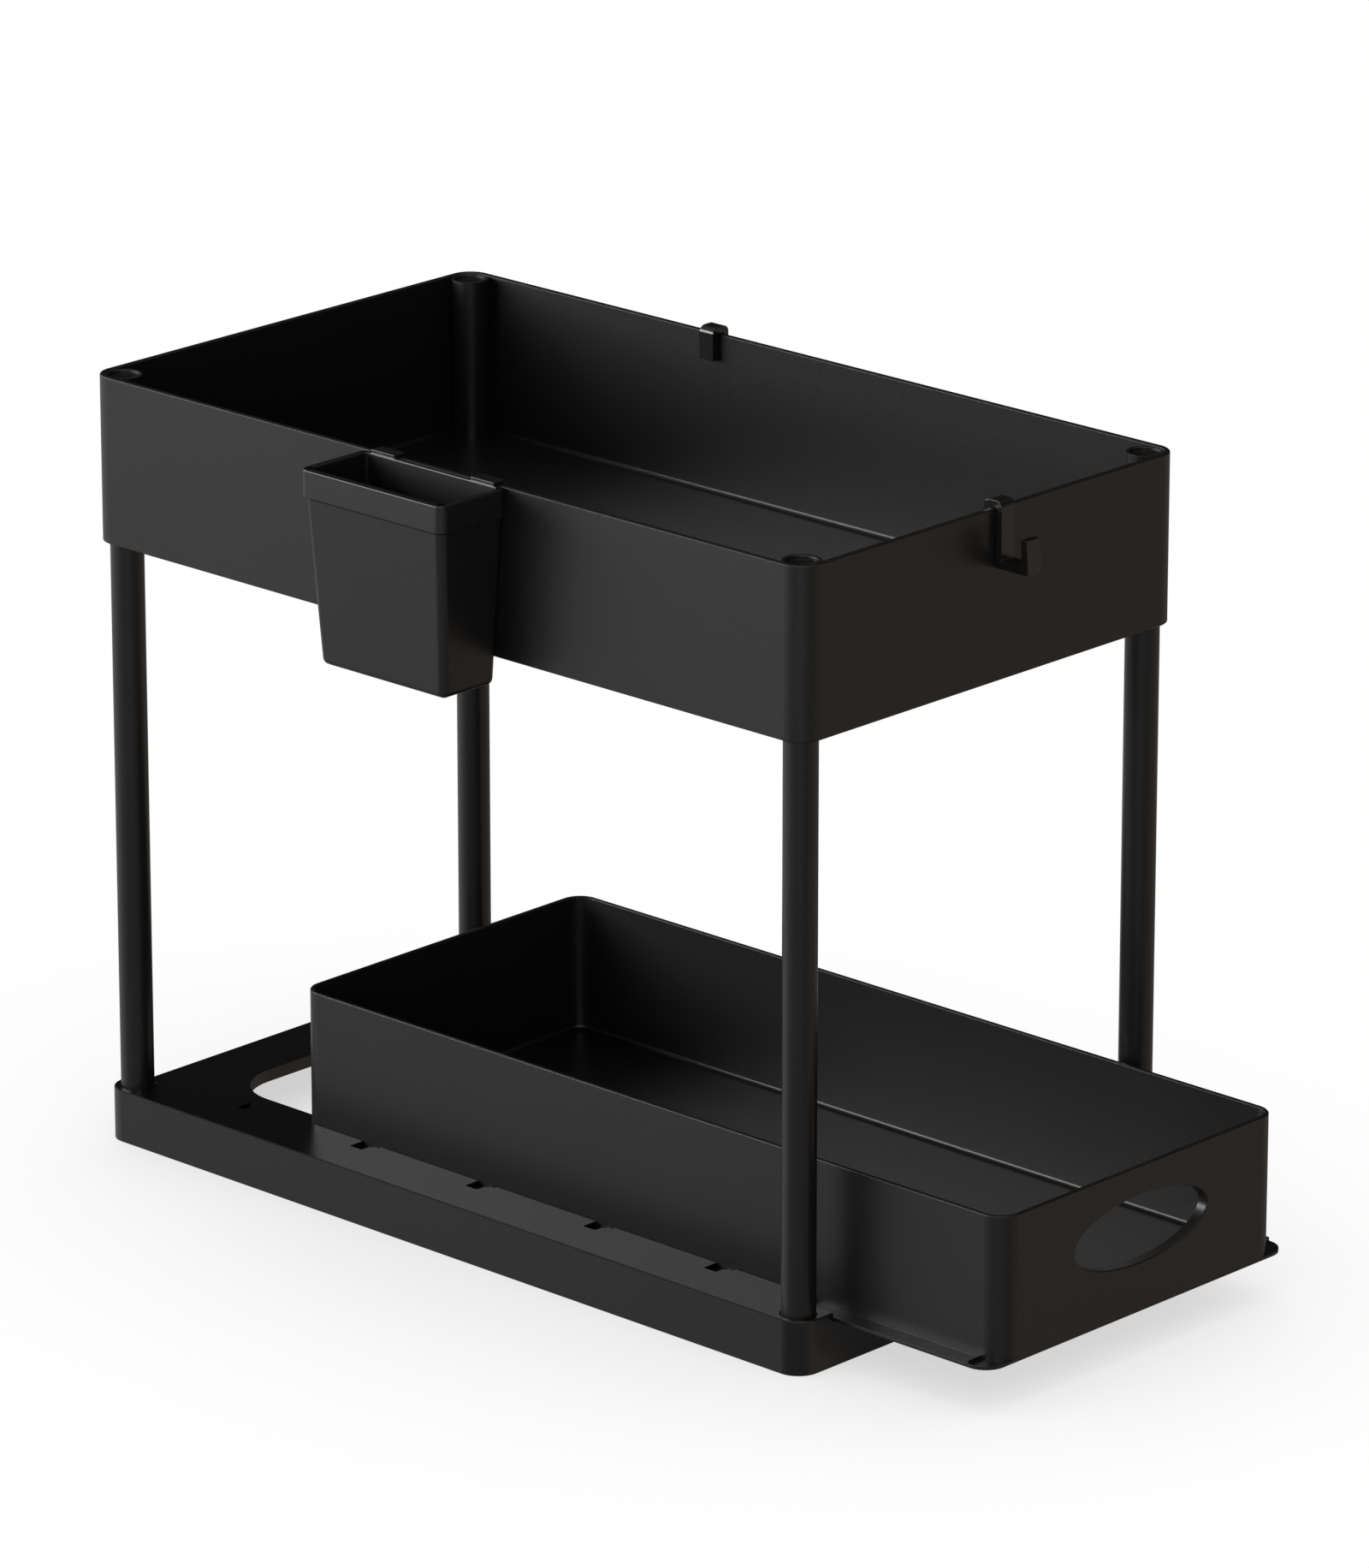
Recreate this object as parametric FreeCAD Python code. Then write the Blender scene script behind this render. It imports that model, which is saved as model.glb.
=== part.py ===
import FreeCAD, Part
import math
import os
from FreeCAD import Vector

# Under sink organizer: a base with slide rails and a drawer, four posts, an upper tray with
# corner sleeves, a cup and two hooks that hang on the tray's rim. Millimetres, +Z up. The origin
# is the centre of the base's footprint on the floor, and the drawer pulls out towards -Y.

# Footprint shared by the base and the tray
footprint_width = 223.4
footprint_length = 400.0
footprint_corner_radius = 10.0

# Base frame
base_height = 23.0
base_wall = 2.5
base_edge_bevel = 0.4
deck_thickness = 2.0
deck_shelf = 15.2
deck_end = 29.5
opening_corner_radius = 25.0
opening_lip_depth = 5.4
opening_lip_wall = 1.8
socket_floor = 4.0
socket_wall = 1.8
socket_chamfer = 0.5
pad_wall = 2.35
pad_length = 19.0

# Slide rails
ledge_thickness = 2.0
notch_count = 5
notch_pitch = 67.2
notch_length = 7.0
notch_depth = 7.6
step_length = 3.8
step_depth = 2.9
step_drop = 0.9

# Posts
post_diameter = 14.2
post_inset = 10.0
post_bore = 9.4
neck_diameter = 12.4

# Upper tray
tray_level = 264.0
tray_height = 71.8
tray_wall = 2.5
tray_floor = 2.5
tray_inner_radius = 2.0
tray_edge_bevel = 0.4
sleeve_wall = 1.6
sleeve_drop = 0.5
sleeve_chamfer = 0.4

# Post caps
cap_thickness = 2.6
cap_sink = 0.9
cap_dish_depth = 0.8
cap_rim = 0.7
cap_stem_length = 6.0

# Drawer
drawer_length = 390.2
drawer_height = 62.1
drawer_wall = 2.0
drawer_floor = 2.0
drawer_corner_radius = 9.4
drawer_inner_radius = 2.0
drawer_edge_bevel = 0.4
drawer_pull = 81.2
flange_reach = 8.0
flange_thickness = 1.4
flange_corner_radius = 9.4
stop_setback = 10.0
stop_thickness = 1.6
stop_height = 1.5

# Handle hole in the drawer's front
handle_width = 80.4
handle_height = 28.8
handle_level = 35.3
handle_edge_radius = 0.6
collar_depth = 4.8
collar_wall = 1.6

# Hanging cup
cup_length = 79.8
cup_reach = 37.2
cup_height = 82.1
cup_place = -1.2
cup_wall = 2.2
cup_floor = 2.2
cup_corner_radius = 4.0
cup_foot_share = 0.8
cup_edge_radius = 0.6
band_height = 12.3
band_step = 1.2
front_taper = 4.6
side_taper = 3.8
back_taper = 2.1
tab_length = 13.0
tab_inset = 5.6
tab_thickness = 1.2
tab_drop = 11.0
tab_edge_radius = 0.4

# Hooks
hook_width = 7.8
hook_strap = 3.0
hook_leg = 3.6
hook_leg_drop = 11.0
hook_crown = 2.9
hook_drop = 24.8
hook_gap = 10.8
hook_arm = 3.7
hook_tip = 3.2
hook_tip_height = 14.5
hook_tip_lean = 0.9
hook_back_radius = 3.3
hook_crown_radius = 3.0
hook_foot_radius = 1.4
hook_corner_radius = 0.6
front_hook_place = 3.8
side_hook_place = 55.0

# Clearances
slide_clearance = 0.3
side_clearance = 0.6
fit_clearance = 0.1
hang_clearance = 0.3
overrun = 5.0
same_place = 1e-4

# Levels and places that follow from the sizes above
rim_level = tray_level + tray_height
ledge_underside = base_height - ledge_thickness
deck_level = ledge_underside - slide_clearance - flange_thickness - slide_clearance
deck_underside = deck_level - deck_thickness
drawer_underside = deck_level + slide_clearance
drawer_front = -footprint_length / 2 - drawer_pull
drawer_back = drawer_front + drawer_length
sleeve_top = rim_level - sleeve_drop
sleeve_bore = neck_diameter / 2 + fit_clearance
cap_top = sleeve_top - cap_sink
neck_top = cap_top - cap_thickness

socket_radius = post_diameter / 2 + fit_clearance
mouth_half = footprint_width / 2 - post_inset - post_diameter / 2 - pad_wall
flange_half = mouth_half - side_clearance
drawer_half = flange_half - flange_reach
ledge_half = drawer_half + side_clearance
ledge_end = footprint_length / 2 - pad_length
hang_side = footprint_width / 2 + hang_clearance

CORNERS = {"front_left": (-1, -1), "front_right": (1, -1), "rear_left": (-1, 1), "rear_right": (1, 1)}


def centred(width, length):
    """Area of a rectangle centred on the origin: west, east, south, north."""
    return (-width / 2, width / 2, -length / 2, length / 2)


def shrunk(area, margin):
    """The same area with every side moved in by the margin."""
    west, east, south, north = area
    return (west + margin, east - margin, south + margin, north - margin)


def rounded_wire(area, radius, level):
    """Closed rectangle with rounded corners at one level."""
    west, east, south, north = shrunk(area, radius)
    edges = []
    for quarter, (x, y) in enumerate([(east, north), (west, north), (west, south), (east, south)]):
        circle = Part.Circle(Vector(x, y, level), Vector(0, 0, 1), radius)
        start = quarter * math.pi / 2
        edges.append(Part.Arc(circle, start, start + math.pi / 2))
    sides = [Part.LineSegment(a.EndPoint, b.StartPoint) for a, b in zip(edges, edges[1:] + edges[:1])]
    return Part.Wire([edge.toShape() for pair in zip(edges, sides) for edge in pair])


def prism(area, radius, bottom, top):
    """Upright block with rounded corners."""
    return Part.Face(rounded_wire(area, radius, bottom)).extrude(Vector(0, 0, top - bottom))


def box(area, bottom, top):
    """Upright block with square corners."""
    west, east, south, north = area
    return Part.makeBox(east - west, north - south, top - bottom, Vector(west, south, bottom))


def post_cylinder(corner, radius, bottom, top):
    """Upright cylinder on the axis of the post at that corner."""
    side, end = corner
    x = side * (footprint_width / 2 - post_inset)
    y = end * (footprint_length / 2 - post_inset)
    return Part.makeCylinder(radius, top - bottom, Vector(x, y, bottom))


def flared_bore(corner, radius, chamfer, bottom, top):
    """Cut for a bore on the post's axis, with a flared mouth at its top."""
    bore = post_cylinder(corner, radius, bottom, top)
    place = bore.CenterOfMass
    place.z = top - chamfer
    return bore.fuse(Part.makeCone(radius, radius + chamfer, chamfer, place))


def level_edges(shape, level):
    """Edges that lie flat at one level."""
    found = []
    for edge in shape.Edges:
        bounds = edge.BoundBox
        if abs(bounds.ZMin - level) < same_place and abs(bounds.ZMax - level) < same_place:
            found.append(edge)
    return found


def softened(shape, level, radius):
    """The shape with all edges at one level rounded."""
    return shape.makeFillet(radius, level_edges(shape, level))


def bevelled(shape, level, size):
    """The shape with all edges at one level bevelled."""
    return shape.makeChamfer(size, level_edges(shape, level))


def tub(area, radii, thicknesses, levels):
    """Open box: radii of its upright corners and its inner foot, wall and floor, bottom and top."""
    corner_radius, foot_radius = radii
    wall, floor = thicknesses
    bottom, top = levels
    outside = prism(area, corner_radius, bottom, top)
    inside = prism(shrunk(area, wall), corner_radius - wall, bottom + floor, top + overrun)
    return outside.cut(softened(inside, bottom + floor, foot_radius))


def notch_cuts():
    """Square notches and their shallow steps along the inner edges of both ledges."""
    cuts = []
    group = notch_length + step_length
    for index in range(notch_count):
        rear = (index - (notch_count - 1) / 2) * notch_pitch + group / 2
        for depth, floor, south, north in (
            (notch_depth, deck_level, rear - notch_length, rear),
            (step_depth, base_height - step_drop, rear - group, rear - notch_length),
        ):
            reach = ledge_half + depth
            cuts.append(box((-reach, reach, south, north), floor, base_height + overrun))
    return cuts


def channel_cuts():
    """Running space of the drawer: under the ledges, between them, and the mouth at each end."""
    end = footprint_length / 2 + overrun
    cuts = [
        box((-mouth_half, mouth_half, -end, end), deck_level, ledge_underside),
        box((-ledge_half, ledge_half, -end, end), deck_level, base_height + overrun),
    ]
    for south, north in ((-end, -ledge_end), (ledge_end, end)):
        cuts.append(box((-mouth_half, mouth_half, south, north), deck_level, base_height + overrun))
    return cuts


def base_frame():
    """Base: skirt, deck with its lipped opening, notched slide rails and post sockets."""
    foot = centred(footprint_width, footprint_length)
    opening = (deck_shelf - ledge_half, ledge_half - deck_shelf, deck_end + foot[2], foot[3] - deck_end)
    block = bevelled(prism(foot, footprint_corner_radius, 0, base_height), base_height, base_edge_bevel)
    hollow = prism(shrunk(foot, base_wall), footprint_corner_radius - base_wall, -overrun, deck_underside)
    bosses = []
    for corner in CORNERS.values():
        bosses.append(post_cylinder(corner, socket_radius + socket_wall, 0, deck_level).common(block))
    lip_bottom = deck_level - opening_lip_depth
    lip_radius = opening_corner_radius + opening_lip_wall
    lip = prism(shrunk(opening, -opening_lip_wall), lip_radius, lip_bottom, deck_level)
    frame = block.cut([hollow] + channel_cuts() + notch_cuts()).fuse(bosses + [lip])
    cuts = [prism(opening, opening_corner_radius, lip_bottom - overrun, deck_level + overrun)]
    for corner in CORNERS.values():
        cuts.append(flared_bore(corner, socket_radius, socket_chamfer, socket_floor, base_height))
    return frame.cut(cuts).removeSplitter()


def post(corner):
    """Post: tube that stands in its socket, with a shoulder under the tray and a neck in the sleeve."""
    tube = post_cylinder(corner, post_diameter / 2, socket_floor, tray_level)
    neck = post_cylinder(corner, neck_diameter / 2, tray_level, neck_top)
    bore = post_cylinder(corner, post_bore / 2, socket_floor - overrun, neck_top + overrun)
    return tube.fuse(neck).cut(bore).removeSplitter()


def cap(corner):
    """Cap: dished plug on the post's neck, with a stem in the post's bore."""
    radius = neck_diameter / 2
    dish_radius = radius - cap_rim
    ball_radius = (dish_radius**2 + cap_dish_depth**2) / (2 * cap_dish_depth)
    plug = post_cylinder(corner, radius, neck_top, cap_top)
    stem = post_cylinder(corner, post_bore / 2 - fit_clearance, neck_top - cap_stem_length, neck_top)
    ball_centre = plug.CenterOfMass
    ball_centre.z = cap_top - cap_dish_depth + ball_radius
    return plug.fuse(stem).cut(Part.makeSphere(ball_radius, ball_centre)).removeSplitter()


def upper_tray():
    """Upper tray: plain walls, a floor, and a sleeve at each corner."""
    foot = centred(footprint_width, footprint_length)
    corner_radii = (footprint_corner_radius, tray_inner_radius)
    walls = tub(foot, corner_radii, (tray_wall, tray_floor), (tray_level, rim_level))
    walls = bevelled(bevelled(walls, rim_level, tray_edge_bevel), tray_level, tray_edge_bevel)
    sleeves = []
    bores = []
    for corner in CORNERS.values():
        sleeve = post_cylinder(corner, sleeve_bore + sleeve_wall, tray_level + tray_floor, sleeve_top)
        sleeves.append(sleeve)
        bores.append(flared_bore(corner, sleeve_bore, sleeve_chamfer, tray_level - overrun, sleeve_top))
    return walls.fuse(sleeves).cut(bores).removeSplitter()


def oval(grow, front, back):
    """Oval block along Y, as large as the handle hole plus the growth."""
    centre = Vector(0, front, drawer_underside + handle_level)
    across = centre + Vector(handle_width / 2 + grow, 0, 0)
    above = centre + Vector(0, 0, handle_height / 2 + grow)
    outline = Part.Wire([Part.Ellipse(across, above, centre).toShape()])
    return Part.Face(outline).extrude(Vector(0, back - front, 0))


def front_oval_edges(shape):
    """The handle hole's edge on the drawer's front face."""
    found = []
    for edge in shape.Edges:
        bounds = edge.BoundBox
        if max(abs(bounds.YMin - drawer_front), abs(bounds.YMax - drawer_front)) > same_place:
            continue
        if edge.isClosed():
            found.append(edge)
    return found


def drawer():
    """Drawer: tub on running flanges, with stop ribs and a collared handle hole."""
    top = drawer_underside + drawer_height
    area = (-drawer_half, drawer_half, drawer_front, drawer_back)
    corner_radii = (drawer_corner_radius, drawer_inner_radius)
    walls = tub(area, corner_radii, (drawer_wall, drawer_floor), (drawer_underside, top))
    walls = bevelled(walls, top, drawer_edge_bevel)
    hole = oval(0, drawer_front - overrun, drawer_front + collar_depth + overrun)
    collar = oval(collar_wall, drawer_front + drawer_wall, drawer_front + collar_depth)
    walls = walls.fuse(collar).cut(hole)
    walls = walls.makeFillet(handle_edge_radius, front_oval_edges(walls))
    flange_area = (-flange_half, flange_half, drawer_front, drawer_back)
    flange_top = drawer_underside + flange_thickness
    flange = prism(flange_area, flange_corner_radius, drawer_underside, flange_top)
    ribs = []
    south = drawer_front + stop_setback
    north = south + stop_thickness
    for west, east in ((-flange_half, -drawer_half), (drawer_half, flange_half)):
        ribs.append(box((west, east, south, north), drawer_underside, flange_top + stop_height))
    return walls.fuse([flange] + ribs).removeSplitter()


def cup_tab(south, north):
    """Clip tab of the cup: an upside-down U over the tray's wall."""
    outer = -hang_side - cup_wall
    inner = tray_wall + hang_clearance - footprint_width / 2
    leg = inner + tab_thickness
    bottom = rim_level - band_height
    seat = rim_level + hang_clearance
    south_past = south - overrun
    north_past = north + overrun
    bridge = box((outer, leg, south, north), bottom, seat + tab_thickness)
    gap = box((-hang_side, inner, south_past, north_past), bottom - overrun, seat)
    below = box((inner, leg + overrun, south_past, north_past), bottom - overrun, rim_level - tab_drop)
    return softened(bridge, seat + tab_thickness, tab_edge_radius).cut([gap, below])


def cup_loft(upper, lower, radius, bottom, top):
    """Tapered block with rounded upright corners between two areas."""
    return Part.makeLoft([rounded_wire(upper, radius, top), rounded_wire(lower, radius, bottom)], True)


def hanging_cup():
    """Hanging cup: tapered body under a stepped rim band, hung by two clip tabs."""
    band_bottom = rim_level - band_height
    bottom = rim_level - cup_height
    south = cup_place - cup_length / 2
    north = cup_place + cup_length / 2
    rim = (-hang_side - cup_reach, -hang_side, south, north)
    upper = (rim[0] + band_step, rim[1], south + band_step, north - band_step)
    lower = (upper[0] + front_taper, upper[1] - back_taper, upper[2] + side_taper, upper[3] - side_taper)
    band = softened(prism(rim, cup_corner_radius, band_bottom, rim_level), rim_level, cup_edge_radius)
    body = cup_loft(upper, lower, cup_corner_radius, bottom, band_bottom)
    body = softened(body, bottom, cup_corner_radius * cup_foot_share)
    upper_inside = shrunk(upper, cup_wall)
    lower_inside = shrunk(lower, cup_wall)
    inner_radius = cup_corner_radius - cup_wall
    cavity = cup_loft(upper_inside, lower_inside, inner_radius, bottom + cup_floor, band_bottom)
    throat = prism(upper_inside, inner_radius, band_bottom, rim_level + overrun)
    tabs = [
        cup_tab(south + tab_inset, south + tab_inset + tab_length),
        cup_tab(north - tab_inset - tab_length, north - tab_inset),
    ]
    return body.fuse(band).cut([cavity, throat]).fuse(tabs).removeSplitter()


def crossing_edges(solid, corner):
    """Edges along X through one corner of a profile."""
    y, z = corner
    found = []
    for edge in solid.Edges:
        bounds = edge.BoundBox
        offsets = (bounds.YMin - y, bounds.YMax - y, bounds.ZMin - z, bounds.ZMax - z)
        if max(abs(offset) for offset in offsets) < same_place:
            found.append(edge)
    return found


def hook():
    """Hook on a wall whose outer face is y = 0, reaching towards -Y, with the wall's rim at z = 0."""
    strap = -hang_clearance - hook_strap
    tip_back = strap - hook_gap
    tip_front = tip_back - hook_tip
    leg_front = tray_wall + hang_clearance
    leg_back = leg_front + hook_leg
    crown = hang_clearance + hook_crown
    arm_top = hook_arm - hook_drop
    tip_top = hook_tip_height - hook_drop
    lean_back = tip_back + hook_tip_lean
    lean_front = tip_front + hook_tip_lean
    profile = [
        (tip_front, -hook_drop), (-hang_clearance, -hook_drop), (-hang_clearance, hang_clearance),
        (leg_front, hang_clearance), (leg_front, -hook_leg_drop), (leg_back, -hook_leg_drop),
        (leg_back, crown), (strap, crown), (strap, arm_top),
        (tip_back, arm_top), (lean_back, tip_top), (lean_front, tip_top),
    ]
    points = [Vector(-hook_width / 2, y, z) for y, z in profile]
    solid = Part.Face(Part.makePolygon(points + points[:1])).extrude(Vector(hook_width, 0, 0))
    for corner, radius in (
        ((leg_back, crown), hook_back_radius), ((strap, crown), hook_crown_radius),
        ((tip_front, -hook_drop), hook_foot_radius), ((lean_front, tip_top), hook_corner_radius),
        ((lean_back, tip_top), hook_corner_radius), ((strap, arm_top), hook_corner_radius),
        ((tip_back, arm_top), hook_corner_radius), ((leg_back, -hook_leg_drop), hook_corner_radius),
        ((-hang_clearance, -hook_drop), hook_corner_radius),
    ):
        solid = solid.makeFillet(radius, crossing_edges(solid, corner))
    return solid


def front_hook():
    """Hook on the tray's front wall."""
    piece = hook()
    piece.translate(Vector(front_hook_place, -footprint_length / 2, rim_level))
    return piece


def side_hook():
    """Hook on the tray's right wall."""
    piece = hook()
    piece.rotate(Vector(0, 0, 0), Vector(0, 0, 1), 90)
    piece.translate(Vector(footprint_width / 2, side_hook_place, rim_level))
    return piece


def main():
    """Build every piece and write it to its own file."""
    pieces = {"base_frame": base_frame(), "upper_tray": upper_tray(), "drawer": drawer()}
    for name, corner in CORNERS.items():
        pieces["post_" + name] = post(corner)
        pieces["cap_" + name] = cap(corner)
    pieces["hanging_cup"] = hanging_cup()
    pieces["front_hook"] = front_hook()
    pieces["side_hook"] = side_hook()
    os.makedirs("parts", exist_ok=True)
    for name, shape in pieces.items():
        shape.Solids[0].exportStep("parts/" + name + ".step")
        print(name, len(shape.Solids), shape.isValid(), round(shape.Volume))


main()
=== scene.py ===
"""Dresses the under sink organizer: black mouldings, softened small pieces, a pale floor, soft light."""

import logging
import math
from collections.abc import Callable
from dataclasses import dataclass, replace
from enum import Enum
from functools import cache

import bmesh
import bpy
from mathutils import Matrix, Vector


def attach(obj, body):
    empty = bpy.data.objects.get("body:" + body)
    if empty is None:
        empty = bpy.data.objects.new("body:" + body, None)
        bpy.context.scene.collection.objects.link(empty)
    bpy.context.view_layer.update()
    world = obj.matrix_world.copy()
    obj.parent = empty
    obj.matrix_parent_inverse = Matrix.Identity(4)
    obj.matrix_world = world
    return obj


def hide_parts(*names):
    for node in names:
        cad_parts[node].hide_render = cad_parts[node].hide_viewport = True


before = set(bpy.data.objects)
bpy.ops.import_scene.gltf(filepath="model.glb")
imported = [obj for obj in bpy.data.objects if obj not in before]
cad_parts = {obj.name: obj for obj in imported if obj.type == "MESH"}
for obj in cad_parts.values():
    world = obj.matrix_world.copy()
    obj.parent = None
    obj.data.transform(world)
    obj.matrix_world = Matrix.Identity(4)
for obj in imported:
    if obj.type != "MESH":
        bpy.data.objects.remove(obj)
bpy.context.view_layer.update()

LOG = logging.getLogger("organizer")
MM = 0.001

Span = tuple[float, float]
Point = tuple[float, float, float]
Colour = tuple[float, float, float, float]

# A face looks along an axis when its normal has more than this share of it.
FACING = 0.9

# Slack when edges are picked by their place, and the distance at which points merge, in millimetres.
NEAR = 0.05
MERGED = 0.001

# Edges that turn by more than this are softened, and blunter ones shade smooth.
SOFT_TURN = math.radians(40)

# Steps across a softened edge, and sides of a disc.
SOFT_SEGMENTS = 3
DISC_SIDES = 64


class Corner(Enum):
    """The four corners where posts stand, as side and end of the footprint."""

    front_left = (-1, -1)
    front_right = (1, -1)
    rear_left = (-1, 1)
    rear_right = (1, 1)


class Wall(Enum):
    """The tray walls that carry a hook, as the hook's turn about the upright axis in degrees."""

    front = 0
    right = 90


def srgb(code: str) -> Colour:
    """Turn an sRGB hex colour into linear light.

    Args:
        code: Six hex digits.

    Returns:
        Linear red, green and blue, and an alpha of one.
    """
    linear = []
    for start in (0, 2, 4):
        share = int(code[start:start + 2], 16) / 255
        linear.append(share / 12.92 if share <= 0.04045 else ((share + 0.055) / 1.055) ** 2.4)
    return (*linear, 1.0)


WHITE = srgb("ffffff")


def add_node(tree: bpy.types.NodeTree, kind: str, settings: dict | None = None,
             inputs: dict | None = None) -> bpy.types.Node:
    """Add one node with its settings, and set or link its inputs.

    Args:
        tree: The node tree that gets the node.
        kind: Blender's type name of the node.
        settings: Values of the node's own properties.
        inputs: For each input by name or number, a value or the output socket that feeds it.

    Returns:
        The new node.
    """
    node = tree.nodes.new(kind)
    for name, value in (settings or {}).items():
        setattr(node, name, value)
    for name, value in (inputs or {}).items():
        if isinstance(value, bpy.types.NodeSocket):
            tree.links.new(value, node.inputs[name])
        else:
            node.inputs[name].default_value = value
    return node


@dataclass(frozen=True)
class MouldedPlastic:
    """Black plastic: its colours, sheen, mould grain, and edges paler from wear and a painted highlight.
    """

    name: str
    dark: str
    light: str
    # Colour mixed in at every edge: partly wear, partly a painted highlight.
    edge: str
    roughness: Span
    specular: float
    grain_depth_mm: float
    flow_mm: float
    edge_mm: float
    grain_mm: float = 0.8
    ior: float = 1.49
    wear_and_highlight_turn: Span = (0.99, 0.75)
    grain_span: Span = (0.3, 0.7)

    @cache
    def material(self) -> bpy.types.Material:
        """Build the node material of this finish once.

        Returns:
            The material, ready for a piece's slot.
        """
        material = bpy.data.materials.new(self.name)
        material.use_nodes = True
        tree = material.node_tree
        tree.nodes.clear()
        place = add_node(tree, "ShaderNodeTexCoord")
        # Broad clouds from the flow of the melt, a tone apart at most.
        flow = add_node(tree, "ShaderNodeTexNoise", inputs={
            "Vector": place.outputs["Object"], "Scale": 1 / (self.flow_mm * MM), "Detail": 3.0})
        # The eroded grain of the mould is about 0.1 mm wide, drawn several times coarser to show.
        grain = add_node(tree, "ShaderNodeTexNoise", inputs={
            "Vector": place.outputs["Object"], "Scale": 1 / (self.grain_mm * MM), "Detail": 2.0})
        # Edges are rounded to the eye, and slightly paler at every edge, corner or crease: partly wear
        # where hands burnish them, partly a painted highlight.
        rounded = add_node(tree, "ShaderNodeBevel", {"samples": 6}, {"Radius": self.edge_mm * MM})
        flat = add_node(tree, "ShaderNodeNewGeometry")
        turn = add_node(tree, "ShaderNodeVectorMath", {"operation": "DOT_PRODUCT"}, {
            0: rounded.outputs["Normal"], 1: flat.outputs["Normal"]})
        wear_and_highlight = add_node(tree, "ShaderNodeMapRange", inputs={
            "Value": turn.outputs["Value"],
            "From Min": self.wear_and_highlight_turn[0], "From Max": self.wear_and_highlight_turn[1]})
        body = add_node(tree, "ShaderNodeMix", {"data_type": "RGBA"}, {
            0: flow.outputs["Fac"], 6: srgb(self.dark), 7: srgb(self.light)})
        colour = add_node(tree, "ShaderNodeMix", {"data_type": "RGBA"}, {
            0: wear_and_highlight.outputs["Result"], 6: body.outputs[2], 7: srgb(self.edge)})
        sheen = add_node(tree, "ShaderNodeMapRange", inputs={
            "Value": grain.outputs["Fac"],
            "From Min": self.grain_span[0], "From Max": self.grain_span[1],
            "To Min": self.roughness[0], "To Max": self.roughness[1]})
        relief = add_node(tree, "ShaderNodeBump", inputs={
            "Height": grain.outputs["Fac"], "Distance": self.grain_depth_mm * MM, "Strength": 1.0,
            "Normal": rounded.outputs["Normal"]})
        surface = add_node(tree, "ShaderNodeBsdfPrincipled", inputs={
            "Base Color": colour.outputs[2], "Roughness": sheen.outputs["Result"],
            "Specular IOR Level": self.specular, "IOR": self.ior, "Normal": relief.outputs["Normal"]})
        add_node(tree, "ShaderNodeOutputMaterial", inputs={"Surface": surface.outputs["BSDF"]})
        return material

    def dress(self, piece: bpy.types.Object) -> None:
        """Give a piece this finish as its only material."""
        piece.data.materials.clear()
        piece.data.materials.append(self.material())


# Polypropylene from a finely eroded mould: deep black with a satin sheen, so that its walls softly
# pick up the studio.
SATIN = MouldedPlastic(
    name="satin_black_polypropylene", dark="101010", light="141414", edge="1c1c1c",
    roughness=(0.32, 0.38), specular=0.5, grain_depth_mm=0.0006, flow_mm=60.0, edge_mm=0.2)

# The base's mould is burnished: the same black with a stronger sheen, so that its ledges catch the
# drawer's walls.
BASE_SATIN = replace(
    SATIN, name="burnished_satin_black_polypropylene",
    roughness=(0.29, 0.34), specular=0.85, grain_depth_mm=0.0002)

# Extruded tube, drawn through a polished die: a little glossier than the mouldings.
TUBE = MouldedPlastic(
    name="drawn_black_tube", dark="121212", light="161616", edge="202020",
    roughness=(0.28, 0.33), specular=0.5, grain_depth_mm=0.0004, flow_mm=40.0, edge_mm=0.4)

# Small ABS mouldings from a polished mould: semi-gloss, with clear highlights on their rounded edges.
GLOSS = MouldedPlastic(
    name="semi_gloss_black_abs", dark="121212", light="161616", edge="202020",
    roughness=(0.2, 0.26), specular=0.62, grain_depth_mm=0.0006, flow_mm=20.0, edge_mm=0.3)


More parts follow.
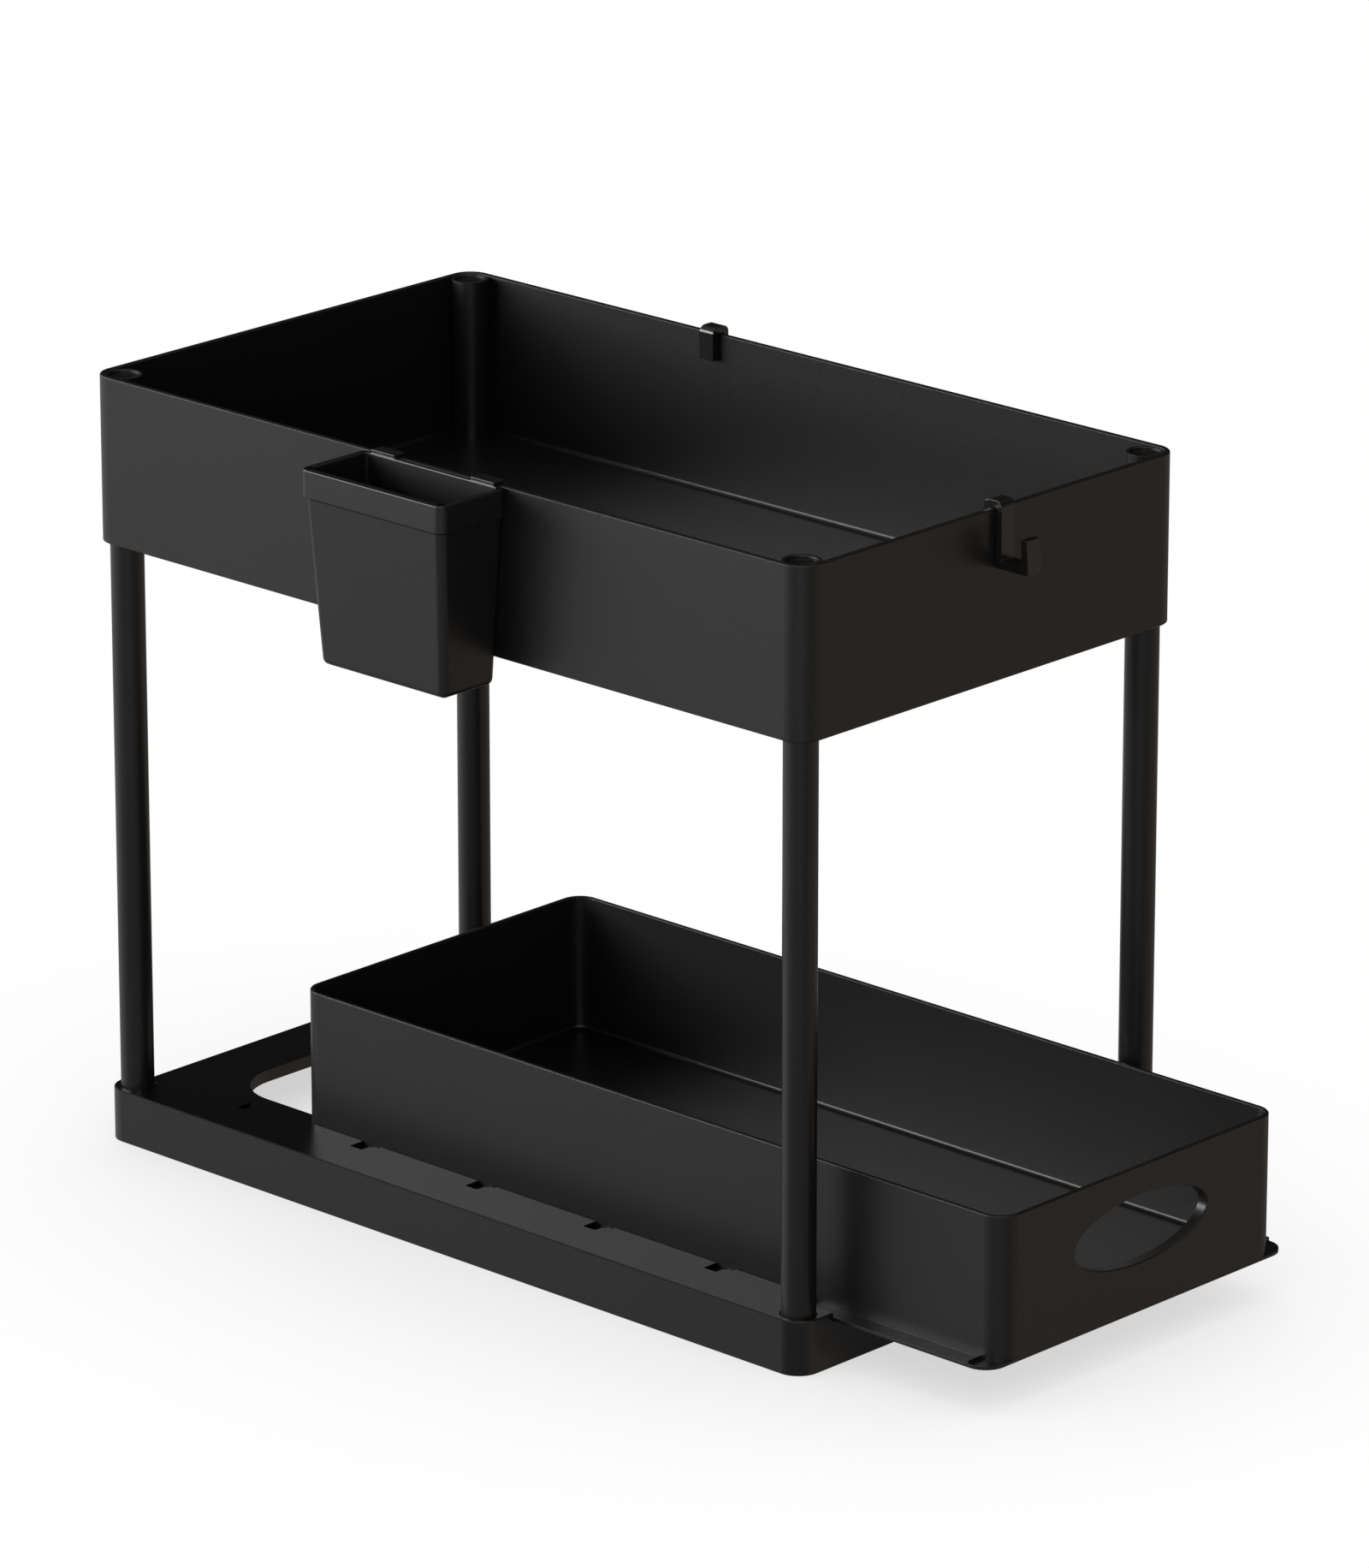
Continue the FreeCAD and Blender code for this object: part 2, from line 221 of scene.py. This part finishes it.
class Moulding:
    """A piece under way in edit mode: faces and edges are picked by place and worked on by operators."""

    def __init__(self, name: str) -> None:
        """Take up the primitive that was just added, and open it.

        Args:
            name: Name of the piece.
        """
        bpy.ops.object.transform_apply(location=True, rotation=True, scale=True)
        self.piece = bpy.context.active_object
        self.piece.name = name
        self.piece.data.name = name
        bpy.ops.object.mode_set(mode="EDIT")

    @classmethod
    def block(cls, name: str, low: Point, high: Point) -> "Moulding":
        """Start from a block.

        Args:
            name: Name of the piece.
            low: Lowest corner in millimetres.
            high: Highest corner in millimetres.

        Returns:
            The piece, open for shaping.
        """
        bpy.ops.object.select_all(action="DESELECT")
        middle = (Vector(low) + Vector(high)) / 2
        bpy.ops.mesh.primitive_cube_add(size=1, location=middle * MM)
        bpy.context.active_object.scale = (Vector(high) - Vector(low)) * MM
        return cls(name)

    @classmethod
    def disc(cls, name: str, radius: float, bottom: float, top: float) -> "Moulding":
        """Start from an upright disc about the Z axis.

        Args:
            name: Name of the piece.
            radius: Radius in millimetres.
            bottom: Level of its underside in millimetres.
            top: Level of its top in millimetres.

        Returns:
            The piece, open for shaping.
        """
        bpy.ops.object.select_all(action="DESELECT")
        bpy.ops.mesh.primitive_cylinder_add(
            vertices=DISC_SIDES, radius=radius * MM, depth=(top - bottom) * MM,
            location=(0, 0, (bottom + top) / 2 * MM))
        return cls(name)

    def faces(self, test: Callable[[Vector, Vector], bool]) -> "Moulding":
        """Pick the faces that pass a test.

        Args:
            test: Tells from a face's centre in millimetres and its normal whether to pick it.

        Returns:
            This piece, for the next step.
        """
        bpy.ops.mesh.select_mode(type="FACE")
        bpy.ops.mesh.select_all(action="DESELECT")
        cage = bmesh.from_edit_mesh(self.piece.data)
        for face in cage.faces:
            face.select_set(test(face.calc_center_median() / MM, face.normal))
        bmesh.update_edit_mesh(self.piece.data)
        return self

    def edges(self, test: Callable[[Vector, Vector], bool]) -> "Moulding":
        """Pick the edges that pass a test.

        Args:
            test: Tells from an edge's two ends in millimetres whether to pick it.

        Returns:
            This piece, for the next step.
        """
        bpy.ops.mesh.select_mode(type="EDGE")
        bpy.ops.mesh.select_all(action="DESELECT")
        cage = bmesh.from_edit_mesh(self.piece.data)
        for edge in cage.edges:
            edge.select_set(test(edge.verts[0].co / MM, edge.verts[1].co / MM))
        bmesh.update_edit_mesh(self.piece.data)
        return self

    def extrude(self, x: float = 0, y: float = 0, z: float = 0) -> "Moulding":
        """Draw the picked faces out along a way in millimetres."""
        bpy.ops.mesh.extrude_region_move(TRANSFORM_OT_translate={"value": Vector((x, y, z)) * MM})
        return self

    def inset(self, margin: float, depth: float = 0) -> "Moulding":
        """Draw a border inside the picked faces and raise or sink what it holds."""
        bpy.ops.mesh.inset(thickness=margin * MM, depth=depth * MM)
        return self

    def fit(self, old: Span, new: Span, axis: int) -> "Moulding":
        """Stretch what is picked along an axis, so that one span becomes another.

        Args:
            old: Ends of the span as it is, in millimetres.
            new: Ends of the span as it shall be, in millimetres.
            axis: Number of the axis.

        Returns:
            This piece, for the next step.
        """
        share = (new[1] - new[0]) / (old[1] - old[0])
        still = (new[0] - share * old[0]) / (1 - share)
        stretch = [1.0, 1.0, 1.0]
        centre = [0.0, 0.0, 0.0]
        stretch[axis] = share
        centre[axis] = still * MM
        bpy.ops.transform.resize(value=stretch, center_override=centre)
        return self

    def round(self, radius: float, segments: int) -> "Moulding":
        """Round the picked edges."""
        bpy.ops.mesh.bevel(offset=radius * MM, segments=segments, affect="EDGES")
        return self

    def close(self, edge_radius: float) -> bpy.types.Object:
        """Leave edit mode and soften the edges that are still sharp.

        Args:
            edge_radius: Radius of the softened edges in millimetres.

        Returns:
            The finished mesh object.
        """
        bpy.ops.mesh.select_all(action="SELECT")
        bpy.ops.mesh.remove_doubles(threshold=MERGED * MM)
        bpy.ops.mesh.normals_make_consistent(inside=False)
        bpy.ops.object.mode_set(mode="OBJECT")
        bpy.ops.object.modifier_add(type="BEVEL")
        bevel = self.piece.modifiers[-1]
        bevel.width = edge_radius * MM
        bevel.segments = SOFT_SEGMENTS
        bevel.limit_method = "ANGLE"
        bevel.angle_limit = SOFT_TURN
        bpy.ops.object.modifier_apply(modifier=bevel.name)
        bpy.ops.object.shade_smooth_by_angle(angle=SOFT_TURN)
        return self.piece


def pick(piece: bpy.types.Object) -> None:
    """Make a piece the only selected object, and the active one.

    Args:
        piece: The piece to work on next.
    """
    bpy.ops.object.select_all(action="DESELECT")
    piece.select_set(True)
    bpy.context.view_layer.objects.active = piece


def weighted(piece: bpy.types.Object) -> None:
    """Let the large flat faces of a piece rule its shading, so that rounded edges read cleanly.

    Args:
        piece: The finished piece.
    """
    pick(piece)
    bpy.ops.object.modifier_add(type="WEIGHTED_NORMAL")
    piece.modifiers[-1].keep_sharp = True
    bpy.ops.object.modifier_apply(modifier=piece.modifiers[-1].name)


def copied(piece: bpy.types.Object, name: str, turn: float, place: Point) -> bpy.types.Object:
    """Copy a piece with its own mesh, turn it about the upright axis and set it in place.

    Args:
        piece: The piece to copy, modelled about the origin.
        name: Name of the copy.
        turn: Turn in degrees.
        place: Where the origin goes, in millimetres.

    Returns:
        The copy, with its place in its mesh.
    """
    pick(piece)
    bpy.ops.object.duplicate(linked=False)
    copy = bpy.context.active_object
    copy.name = name
    copy.data.name = name
    copy.rotation_euler = (0, 0, math.radians(turn))
    copy.location = Vector(place) * MM
    bpy.ops.object.transform_apply(location=True, rotation=True, scale=True)
    return copy


def stand_in(piece: bpy.types.Object, node: str, body: str) -> None:
    """Let a modelled piece ride on a body and stand for a CAD node.

    Args:
        piece: The modelled piece.
        node: The CAD node that it replaces.
        body: The body that carries it.
    """
    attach(piece, body)
    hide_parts(node)
    LOG.info("modelled %s on %s", piece.name, body)


@dataclass
class Stand:
    """Base frame with its slide rails, and the four posts."""

    moulding: MouldedPlastic = BASE_SATIN
    tube: MouldedPlastic = TUBE

    def dress(self) -> None:
        """Give the base and the posts their finishes."""
        self.moulding.dress(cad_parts["base_frame"])
        LOG.info("dressed base_frame")
        for corner in Corner:
            self.tube.dress(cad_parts[f"post_{corner.name}"])
            LOG.info("dressed post_%s", corner.name)


@dataclass
class UpperTray:
    """Upper tray and the caps that close the posts at its corners. Sizes in millimetres."""

    half_width: float = 111.7
    half_length: float = 200.0
    post_inset: float = 10.0
    cap_radius: float = 6.2
    cap_top: float = 334.4
    cap_thickness: float = 2.6
    cap_rim: float = 0.7
    cap_dish: float = 0.8
    dish_rings: int = 5
    stem_radius: float = 4.6
    stem_length: float = 6.0
    edge_radius: float = 0.25
    finish: MouldedPlastic = SATIN
    cap_finish: MouldedPlastic = GLOSS

    def build(self) -> None:
        """Model one cap and set a copy on each post."""
        first = self.cap()
        x = self.half_width - self.post_inset
        y = self.half_length - self.post_inset
        for corner in Corner:
            side, end = corner.value
            cap = copied(first, f"plug_{corner.name}", 0, (side * x, end * y, 0))
            self.cap_finish.dress(cap)
            stand_in(cap, f"cap_{corner.name}", "frame")
        bpy.data.objects.remove(first)

    def cap(self) -> bpy.types.Object:
        """Model a dished cap with its stem about the Z axis.

        Returns:
            The cap at its own level.
        """
        bottom = self.cap_top - self.cap_thickness
        cap = Moulding.disc("plug", self.cap_radius, bottom, self.cap_top)
        cap.faces(lambda centre, normal: normal.z > FACING).inset(self.cap_rim)
        radius = self.cap_radius - self.cap_rim
        reach = radius
        depth = 0.0
        for ring in range(1, self.dish_rings):
            share = ring / self.dish_rings
            sink = self.cap_dish * (1 - (1 - share) ** 2)
            cap.inset(reach - radius * (1 - share), depth - sink)
            reach = radius * (1 - share)
            depth = sink
        cap.faces(lambda centre, normal: normal.z < -FACING).inset(self.cap_radius - self.stem_radius)
        cap.extrude(z=-self.stem_length)
        return cap.close(self.edge_radius)

    def dress(self) -> None:
        """Give the tray its finish."""
        self.finish.dress(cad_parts["upper_tray"])
        LOG.info("dressed upper_tray")


@dataclass
class Drawer:
    """Pull-out drawer on its running flanges."""

    finish: MouldedPlastic = SATIN

    def dress(self) -> None:
        """Give the drawer its finish."""
        self.finish.dress(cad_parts["drawer"])
        LOG.info("dressed drawer")


@dataclass
class HangingCup:
    """Tapered cup under a stepped rim band, hung on the tray's left wall by two clip tabs.

    Sizes in millimetres.
    """

    back: float = -112.0
    reach: float = 37.2
    south: float = -41.1
    north: float = 38.7
    rim_level: float = 335.8
    height: float = 82.1
    wall: float = 2.2
    band_height: float = 12.3
    band_step: float = 1.2
    band_slope: float = 1.0
    front_taper: float = 4.6
    side_taper: float = 3.8
    back_taper: float = 2.1
    corner_radius: float = 4.0
    foot_radius: float = 2.8
    inner_foot_radius: float = 1.2
    rim_radius: float = 0.6
    edge_radius: float = 0.35
    tab_inset: float = 5.6
    tab_length: float = 13.0
    tab_thickness: float = 1.2
    tab_drop: float = 11.0
    tab_radius: float = 0.4
    tab_bite: float = 0.3
    tray_wall: float = 2.5
    clearance: float = 0.3
    finish: MouldedPlastic = SATIN

    def build(self) -> None:
        """Model the cup and join its tabs to it."""
        cup = self.body()
        for south in (self.south + self.tab_inset, self.north - self.tab_inset - self.tab_length):
            self.join(cup, self.tab(south))
        weighted(cup)
        self.finish.dress(cup)
        stand_in(cup, "hanging_cup", "cup")

    def body(self) -> bpy.types.Object:
        """Model the band and the tapered body with its cavity.

        Returns:
            The cup without its tabs.
        """
        front = self.back - self.reach
        bottom = self.rim_level - self.height
        band_bottom = self.rim_level - self.band_height
        step = self.band_step
        upper = ((front + step, self.back), (self.south + step, self.north - step))
        lower = ((upper[0][0] + self.front_taper, upper[0][1] - self.back_taper),
                 (upper[1][0] + self.side_taper, upper[1][1] - self.side_taper))
        band_low = (front, self.south, band_bottom + self.band_slope)
        cup = Moulding.block("side_cup", band_low, (self.back, self.north, self.rim_level))
        cup.edges(lambda a, b: abs(a.z - b.z) > NEAR).round(self.corner_radius, segments=6)
        cup.faces(lambda centre, normal: normal.z < -FACING).extrude(z=-self.band_slope)
        cup.fit((front, self.back), upper[0], 0).fit((self.south, self.north), upper[1], 1)
        cup.extrude(z=bottom - band_bottom).fit(upper[0], lower[0], 0).fit(upper[1], lower[1], 1)
        wall = self.wall
        rim = ((front + wall, self.back - wall), (self.south + wall, self.north - wall))
        throat = tuple((low + wall, high - wall) for low, high in upper)
        floor = tuple((low + wall, high - wall) for low, high in lower)
        floor_level = bottom + wall
        cup.faces(lambda centre, normal: normal.z > FACING).inset(wall)
        cup.fit(rim[0], throat[0], 0).fit(rim[1], throat[1], 1)
        cup.extrude(z=band_bottom - self.rim_level)
        cup.extrude(z=floor_level - band_bottom).fit(throat[0], floor[0], 0).fit(throat[1], floor[1], 1)
        cup.edges(lambda a, b: max(a.z, b.z) < bottom + NEAR).round(self.foot_radius, segments=5)
        cup.edges(lambda a, b: max(abs(a.z - floor_level), abs(b.z - floor_level)) < NEAR
                  and self.inside(a, floor) and self.inside(b, floor))
        cup.round(self.inner_foot_radius, segments=3)
        cup.edges(lambda a, b: min(a.z, b.z) > self.rim_level - NEAR).round(self.rim_radius, segments=3)
        return cup.close(self.edge_radius)

    @staticmethod
    def inside(point: Vector, area: tuple[Span, Span]) -> bool:
        """Tell whether a point lies within an area of the cup's floor."""
        (west, east), (south, north) = area
        return west - NEAR < point.x < east + NEAR and south - NEAR < point.y < north + NEAR

    def tab(self, south: float) -> bpy.types.Object:
        """Model one clip tab, an upside-down U over the tray's wall.

        Args:
            south: Where the tab begins along the wall.

        Returns:
            The tab.
        """
        seat = self.rim_level + self.clearance
        top = seat + self.tab_thickness
        inner = self.back + 2 * self.clearance + self.tray_wall
        outer = self.back - self.wall + self.tab_bite
        root = self.rim_level - self.band_height + self.band_slope
        tab = Moulding.block("clip_tab", (outer, south, root),
                             (self.back - self.tab_bite, south + self.tab_length, seat))
        tab.faces(lambda centre, normal: normal.z > FACING).extrude(z=self.tab_thickness)
        tab.faces(lambda centre, normal: normal.x > FACING and centre.z > seat)
        tab.extrude(x=inner - self.back + self.tab_bite).extrude(x=self.tab_thickness)
        tab.faces(lambda centre, normal: normal.z < -FACING and centre.x > inner)
        tab.extrude(z=self.rim_level - self.tab_drop - seat)
        tab.edges(lambda a, b: min(a.z, b.z) > top - NEAR and abs(a.x - b.x) < NEAR
                  and (a.x < outer + NEAR or a.x > inner + self.tab_thickness - NEAR))
        tab.round(self.tab_radius, segments=4)
        return tab.close(self.edge_radius)

    @staticmethod
    def join(cup: bpy.types.Object, tab: bpy.types.Object) -> None:
        """Unite a tab with the cup.

        Args:
            cup: The cup, which becomes the union.
            tab: The tab, which is used up.
        """
        pick(cup)
        bpy.ops.object.modifier_add(type="BOOLEAN")
        union = cup.modifiers[-1]
        union.operation = "UNION"
        union.solver = "MANIFOLD"
        union.object = tab
        bpy.ops.object.modifier_apply(modifier=union.name)
        bpy.data.objects.remove(tab)


@dataclass
class WallHooks:
    """Hooks clipped over the tray's walls.

    Sizes in millimetres, on a wall whose outer face is y = 0 and whose rim is z = 0.
    """

    width: float = 7.8
    strap: float = 3.0
    leg: float = 3.6
    leg_drop: float = 11.0
    crown: float = 2.9
    drop: float = 24.8
    gap: float = 10.8
    arm: float = 3.7
    tip: float = 3.2
    tip_height: float = 14.5
    tip_lean: float = 0.9
    back_radius: float = 3.3
    crown_radius: float = 3.0
    foot_radius: float = 1.3
    side_radius: float = 1.1
    corner_radius: float = 0.6
    edge_radius: float = 0.4
    tray_wall: float = 2.5
    clearance: float = 0.3
    rim_level: float = 335.8
    front_place: Span = (3.8, -200.0)
    right_place: Span = (111.7, 55.0)
    finish: MouldedPlastic = GLOSS

    def build(self) -> None:
        """Model one hook and set a copy on each of the two walls."""
        first = self.hook()
        for wall, place, body in (
            (Wall.front, self.front_place, "front_hook"),
            (Wall.right, self.right_place, "side_hook"),
        ):
            hook = copied(first, f"{wall.name}_wall_hook", wall.value, (*place, self.rim_level))
            self.finish.dress(hook)
            stand_in(hook, body, body)
        bpy.data.objects.remove(first)

    def hook(self) -> bpy.types.Object:
        """Model a hook: leg, crown, strap, arm and tip, drawn out one from another.

        Returns:
            The hook at the origin.
        """
        half = self.width / 2
        back = -self.clearance
        front = back - self.strap
        tip_back = front - self.gap
        tip_front = tip_back - self.tip
        leg_front = self.tray_wall + self.clearance
        leg_back = leg_front + self.leg
        top = self.clearance + self.crown
        bottom = -self.drop
        arm_top = bottom + self.arm
        tip_top = bottom + self.tip_height
        hook = Moulding.block("hook", (-half, front, bottom), (half, back, arm_top))
        hook.faces(lambda centre, normal: normal.z > FACING)
        hook.extrude(z=self.clearance - arm_top).extrude(z=self.crown)
        hook.faces(lambda centre, normal: normal.y > FACING and centre.z > self.clearance)
        hook.extrude(y=leg_front - back).extrude(y=self.leg)
        hook.faces(lambda centre, normal: normal.z < -FACING and centre.y > leg_front)
        hook.extrude(z=-self.leg_drop - self.clearance)
        hook.faces(lambda centre, normal: normal.y < -FACING and centre.z < arm_top)
        hook.extrude(y=-self.gap).extrude(y=-self.tip)
        hook.faces(lambda centre, normal: normal.z > FACING and centre.y < tip_back)
        hook.extrude(y=self.tip_lean, z=tip_top - arm_top)
        for y, z, radius in (
            (leg_back, top, self.back_radius), (front, top, self.crown_radius),
            (front, arm_top, self.corner_radius), (tip_back, arm_top, self.corner_radius),
        ):
            hook.edges(lambda a, b: max(abs(a.y - y), abs(b.y - y), abs(a.z - z), abs(b.z - z)) < NEAR)
            hook.round(radius, segments=6)
        hook.edges(lambda a, b: max(a.z, b.z) < bottom + NEAR and abs(a.x - b.x) < NEAR)
        hook.round(self.side_radius, segments=4)
        foot_top = bottom + self.side_radius
        hook.edges(lambda a, b: max(a.y, b.y) < tip_front + NEAR and max(a.z, b.z) < foot_top + NEAR)
        hook.round(self.foot_radius, segments=4)
        piece = hook.close(self.edge_radius)
        weighted(piece)
        return piece


@dataclass(frozen=True)
class Glow:
    """A soft patch of the studio: where it lies, between which cosines it grows, and its light."""

    toward: Point
    reach: Span
    light: Colour


@dataclass(frozen=True)
class Softbox:
    """A rectangular soft lamp. Places and sizes in metres, power in watts."""

    name: str
    place: Point
    aim: Point
    size: Span
    power: float


@dataclass
class Studio:
    """Pale floor, soft light and the camera. Lengths in metres, angles in degrees."""

    floor_half: float = 12.0
    floor_level: float = -0.0002
    paper_colour: str = "e6e6e6"
    shade_reach: float = 0.35
    shaded_white: float = 0.62
    open_share: float = 0.95
    covered_span: Span = (0.1, 0.45)
    mirrored_share: float = 0.17
    dim_light: float = 0.015
    glows: tuple[Glow, ...] = (
        # A pale side behind on the left, which the long walls mirror.
        Glow(toward=(-0.3, 0.95, 0.0), reach=(0.55, 1.0), light=(0.46, 0.46, 0.46, 1.0)),
        # A warm, dim side in front on the right, which the short walls mirror.
        Glow(toward=(0.69, -0.65, -0.32), reach=(0.55, 0.9), light=(0.18, 0.115, 0.065, 1.0)),
        # Low light behind on the right, which posts and rounded corners mirror along their outlines.
        Glow(toward=(0.65, 0.7, -0.5), reach=(0.86, 1.0), light=(0.45, 0.45, 0.45, 1.0)),
        # Light from above, for rims and floors.
        Glow(toward=(0.0, 0.0, 1.0), reach=(0.62, 1.0), light=(0.7, 0.7, 0.7, 1.0)),
    )
    softboxes: tuple[Softbox, ...] = (
        Softbox(name="left_softbox", place=(-1.75, 1.65, 0.92), aim=(0.0, 0.0, 0.1),
                size=(3.4, 1.0), power=106.0),
        Softbox(name="front_fill", place=(-2.1, -2.0, 0.9), aim=(0.0, 0.0, 0.15),
                size=(2.0, 1.4), power=26.0),
    )
    camera_place: Point = (-2.635514, -2.517536, 1.394069)
    camera_azimuth: float = -46.677
    camera_elevation: float = 18.483
    camera_lens: float = 214.13
    camera_sensor: float = 36.0
    camera_sight: float = 60.0

    def build(self) -> None:
        """Make the floor, the light and the camera."""
        self.floor()
        self.world()
        self.lamps()
        self.camera()
        LOG.info("set up the studio")

    def floor(self) -> None:
        """Lay a wide pale floor that shows white and keeps a painted shadow of the object."""
        bpy.ops.mesh.primitive_plane_add(size=2 * self.floor_half, location=(0, 0, self.floor_level))
        floor = bpy.context.active_object
        floor.name = "studio_floor"
        floor.data.materials.append(self.paper())

    def paper(self) -> bpy.types.Material:
        """Build the floor's paper: white to the eye with a painted shade near the object, faint in
        reflections.

        Returns:
            The material of the floor.
        """
        material = bpy.data.materials.new("pale_studio_paper")
        material.use_nodes = True
        tree = material.node_tree
        tree.nodes.clear()
        path = add_node(tree, "ShaderNodeLightPath")
        paper = add_node(tree, "ShaderNodeBsdfDiffuse", inputs={"Color": srgb(self.paper_colour)})
        # Painted shadow: the white glow dims where ambient occlusion finds the object near, not where
        # the lamps are blocked.
        nearby = add_node(tree, "ShaderNodeAmbientOcclusion", {"samples": 16}, {
            "Distance": self.shade_reach})
        shade = add_node(tree, "ShaderNodeMapRange", inputs={
            "Value": nearby.outputs["AO"], "From Min": 0.0, "From Max": self.open_share,
            "To Min": self.shaded_white, "To Max": 1.0})
        glow = add_node(tree, "ShaderNodeEmission", inputs={
            "Color": WHITE, "Strength": shade.outputs["Result"]})
        # In reflections the studio beyond shows through, darkened by painted shade where the object
        # covers the paper.
        painted_cover_shade = add_node(tree, "ShaderNodeMapRange", inputs={
            "Value": nearby.outputs["AO"],
            "From Min": self.covered_span[0], "From Max": self.covered_span[1]})
        beyond = add_node(tree, "ShaderNodeBsdfTransparent", inputs={"Color": painted_cover_shade.outputs["Result"]})
        direct = add_node(tree, "ShaderNodeMath", {"operation": "MAXIMUM"}, {
            0: path.outputs["Is Camera Ray"], 1: path.outputs["Is Transmission Ray"]})
        seen = add_node(tree, "ShaderNodeMixShader", inputs={
            0: direct.outputs["Value"], 1: paper.outputs["BSDF"], 2: glow.outputs["Emission"]})
        mirrored = add_node(tree, "ShaderNodeMixShader", inputs={
            0: self.mirrored_share, 1: beyond.outputs["BSDF"], 2: glow.outputs["Emission"]})
        both = add_node(tree, "ShaderNodeMixShader", inputs={
            0: path.outputs["Is Glossy Ray"], 1: seen.outputs["Shader"], 2: mirrored.outputs["Shader"]})
        add_node(tree, "ShaderNodeOutputMaterial", inputs={"Surface": both.outputs["Shader"]})
        return material

    def world(self) -> None:
        """Surround the scene with a dim studio that is white to the eye of the camera."""
        world = bpy.data.worlds.new("studio_world")
        bpy.context.scene.world = world
        world.use_nodes = True
        tree = world.node_tree
        tree.nodes.clear()
        path = add_node(tree, "ShaderNodeLightPath")
        way = add_node(tree, "ShaderNodeTexCoord")
        dim = add_node(tree, "ShaderNodeBackground", inputs={"Color": WHITE, "Strength": self.dim_light})
        total = dim.outputs["Background"]
        for glow in self.glows:
            near = add_node(tree, "ShaderNodeVectorMath", {"operation": "DOT_PRODUCT"}, {
                0: way.outputs["Generated"], 1: Vector(glow.toward).normalized()})
            share = add_node(tree, "ShaderNodeMapRange", {"interpolation_type": "SMOOTHSTEP"}, {
                "Value": near.outputs["Value"], "From Min": glow.reach[0], "From Max": glow.reach[1]})
            patch = add_node(tree, "ShaderNodeBackground", inputs={
                "Color": glow.light, "Strength": share.outputs["Result"]})
            total = add_node(tree, "ShaderNodeAddShader", inputs={
                0: total, 1: patch.outputs["Background"]}).outputs["Shader"]
        white = add_node(tree, "ShaderNodeBackground", inputs={"Color": WHITE, "Strength": 1.0})
        direct = add_node(tree, "ShaderNodeMath", {"operation": "MAXIMUM"}, {
            0: path.outputs["Is Camera Ray"], 1: path.outputs["Is Transmission Ray"]})
        mix = add_node(tree, "ShaderNodeMixShader", inputs={
            0: direct.outputs["Value"], 1: total, 2: white.outputs["Background"]})
        add_node(tree, "ShaderNodeOutputWorld", inputs={"Surface": mix.outputs["Shader"]})

    def lamps(self) -> None:
        """Hang a broad soft lamp behind on the left and a weaker one in front on the left."""
        # Seen from the right, the deck would mirror the lamps as a white sheet, so they are kept off
        # the base.
        shaded = bpy.data.collections.new("kept_from_lamps")
        shaded.objects.link(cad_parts["base_frame"])
        shaded.collection_objects[0].light_linking.link_state = "EXCLUDE"
        for box in self.softboxes:
            lamp = bpy.data.lights.new(box.name, "AREA")
            lamp.shape = "RECTANGLE"
            lamp.size, lamp.size_y = box.size
            lamp.energy = box.power
            holder = bpy.data.objects.new(box.name, lamp)
            holder.location = box.place
            direction = Vector(box.aim) - Vector(box.place)
            holder.rotation_euler = direction.to_track_quat("-Z", "Y").to_euler()
            holder.light_linking.receiver_collection = shaded
            bpy.context.scene.collection.objects.link(holder)

    def camera(self) -> None:
        """Set the camera at the photograph's viewing angle."""
        camera = bpy.data.cameras.new("photo_camera")
        camera.lens = self.camera_lens
        camera.sensor_width = self.camera_sensor
        camera.clip_end = self.camera_sight
        holder = bpy.data.objects.new("photo_camera", camera)
        holder.location = self.camera_place
        pitch = 90 - self.camera_elevation
        holder.rotation_euler = (math.radians(pitch), 0, math.radians(self.camera_azimuth))
        bpy.context.scene.collection.objects.link(holder)
        bpy.context.scene.camera = holder


def main() -> None:
    """Build and dress everything in order."""
    logging.basicConfig(level=logging.INFO, format="%(name)s: %(message)s")
    bpy.ops.object.select_all(action="DESELECT")
    bpy.context.scene.view_settings.view_transform = "Standard"
    Stand().dress()
    tray = UpperTray()
    tray.build()
    tray.dress()
    Drawer().dress()
    HangingCup().build()
    WallHooks().build()
    Studio().build()


if __name__ == "__main__":
    main()
